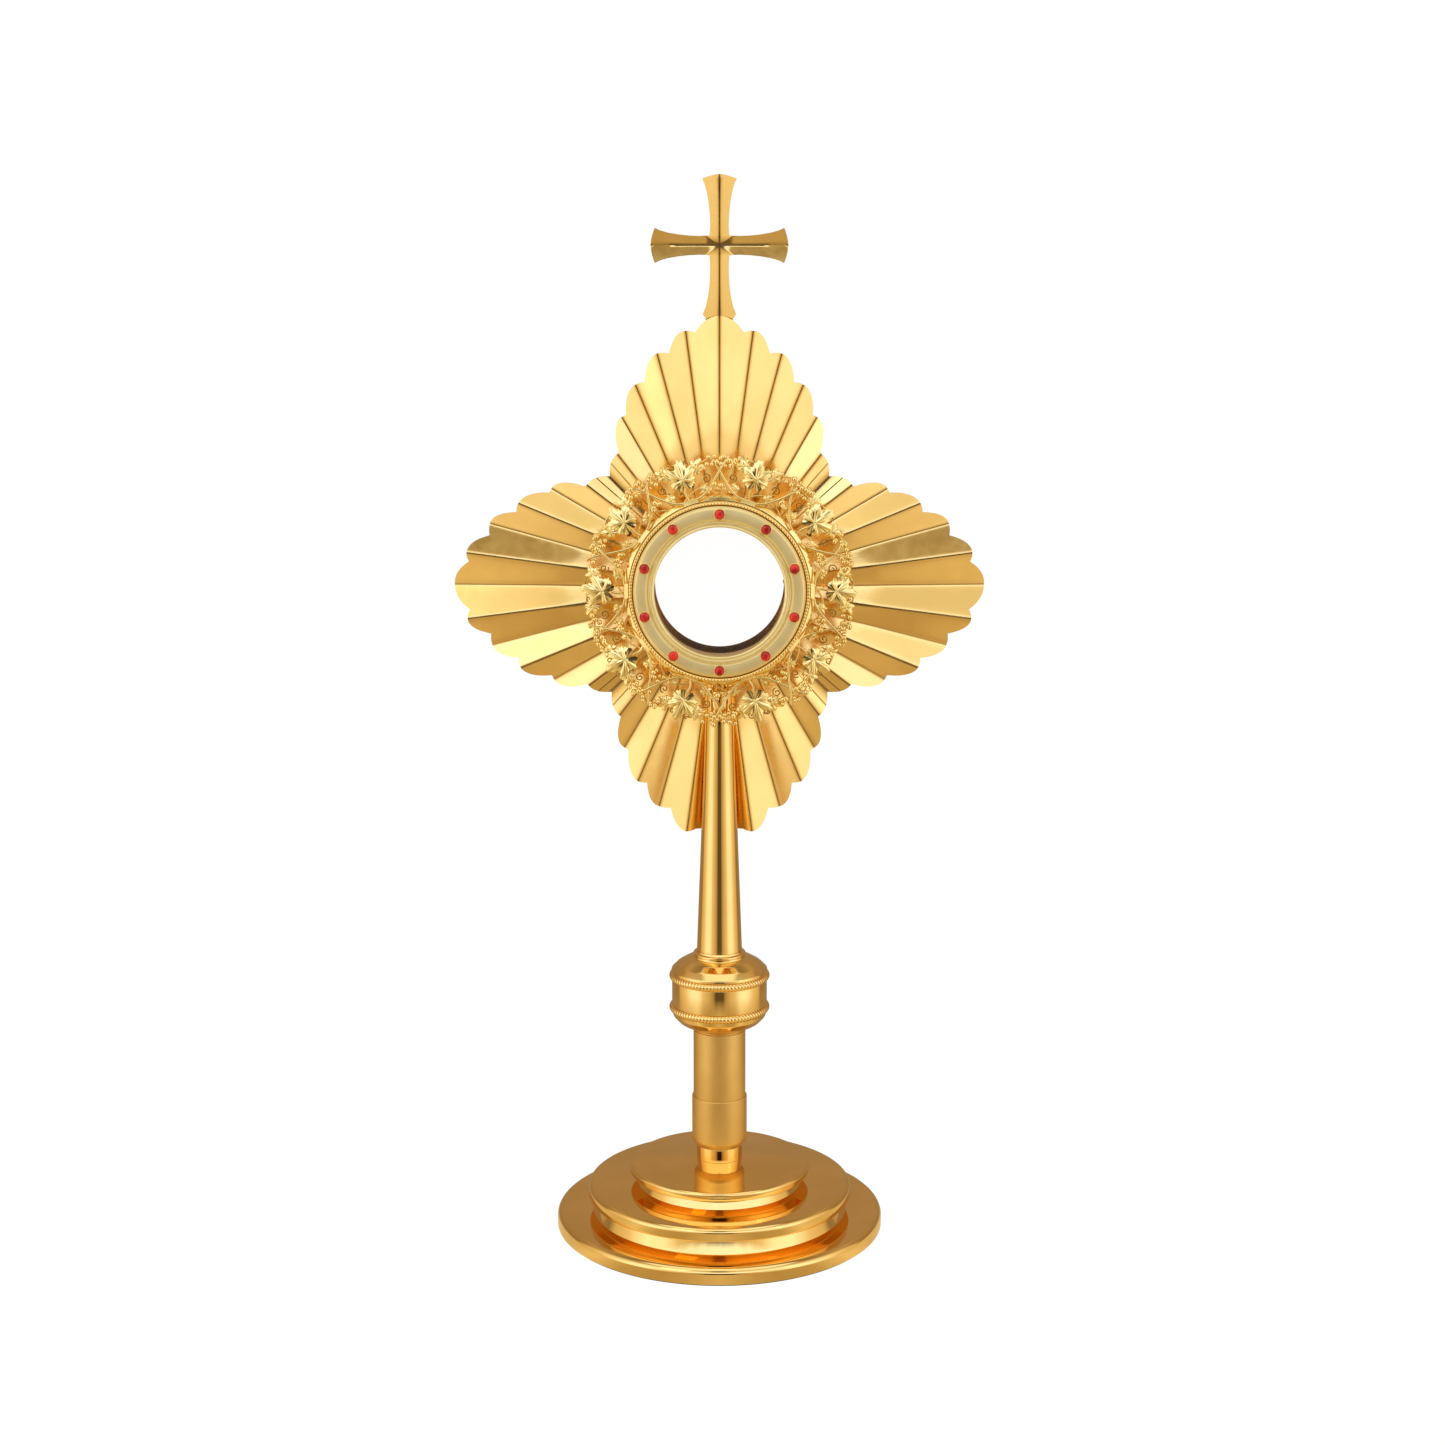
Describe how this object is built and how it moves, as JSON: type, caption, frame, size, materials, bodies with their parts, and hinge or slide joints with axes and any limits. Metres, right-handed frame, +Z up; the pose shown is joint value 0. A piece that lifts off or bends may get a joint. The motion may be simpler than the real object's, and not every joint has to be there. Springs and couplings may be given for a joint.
{
  "type": "monstrance",
  "caption": "Gilt monstrance: three-step round base, turned stem with knop, pleated ray sheet, vine wreath, red stones, cross and a luna that comes out at the back.",
  "frame": {"origin": "centre of the base's underside, on the table", "axes": "+Z up the stem, front with the stones towards -Y, +X to the viewer's right"},
  "size_m": [0.3034, 0.192, 0.61],
  "materials": {
    "gold_polished": "gilt, mirror polished",
    "gold_satin": "gilt, satin brushed round",
    "gold_ray": "gilt sheet, soft satin",
    "gold_cast": "gilt casting, bright",
    "red_stone": "faceted red paste stone",
    "clear_glass": "clear flat glass",
    "steel": "plain steel",
    "felt": "dark green felt"
  },
  "bodies": {
    "stand": {"felt_pad": "felt", "base_lower_step": "gold_polished", "base_middle_step": "gold_polished", "base_upper_step": "gold_polished", "base_washer": "steel", "base_nut": "steel", "tie_rod": "steel", "stem_ferrule": "gold_polished", "stem_collar": "gold_satin", "stem_tube": "gold_satin", "knop_lower_cup": "gold_polished", "knop_lower_bead": "gold_polished", "knop_band": "gold_polished", "knop_upper_bead": "gold_polished", "knop_dome": "gold_polished", "stem_neck_ring": "gold_polished", "stem_cone": "gold_polished", "head_socket": "gold_polished", "luna_case": "gold_polished", "ray_sheet": "gold_ray", "ray_screws": "gold_polished", "ray_nuts": "gold_polished", "cross": "gold_ray", "bezel_ring": "gold_polished", "bezel_milgrain_ring": "gold_polished", "stone_settings": "gold_polished", "stones": "red_stone", "wreath_base_ring": "gold_cast", "wreath_arches": "gold_cast", "vine_leaves": "gold_cast", "grape_bunches": "gold_cast", "catch_screw": "steel"},
    "luna": {"luna_body": "gold_polished", "luna_front_glass": "clear_glass", "luna_glass_ring": "gold_polished", "luna_hinge_pin": "steel"},
    "lid": {"luna_lid": "gold_polished", "luna_rear_glass": "clear_glass", "luna_knob": "gold_polished"},
    "catch_arm": {"catch": "gold_polished"}
  },
  "joints": [
    {"name": "luna_slide", "type": "slide", "parent": "stand", "child": "luna", "axis": [0, 1, 0], "range_m": [0, 0.045]},
    {"name": "luna_lid_hinge", "type": "hinge", "parent": "luna", "child": "lid", "pos_m": [-0.0425, 0.0204, 0.3804], "axis": [0, 0, 1], "range_deg": [0, 110]},
    {"name": "catch_turn", "type": "hinge", "parent": "stand", "child": "catch_arm", "pos_m": [0, 0.0192, 0.4344], "axis": [0, 1, 0], "range_deg": [0, 90]}
  ]
}
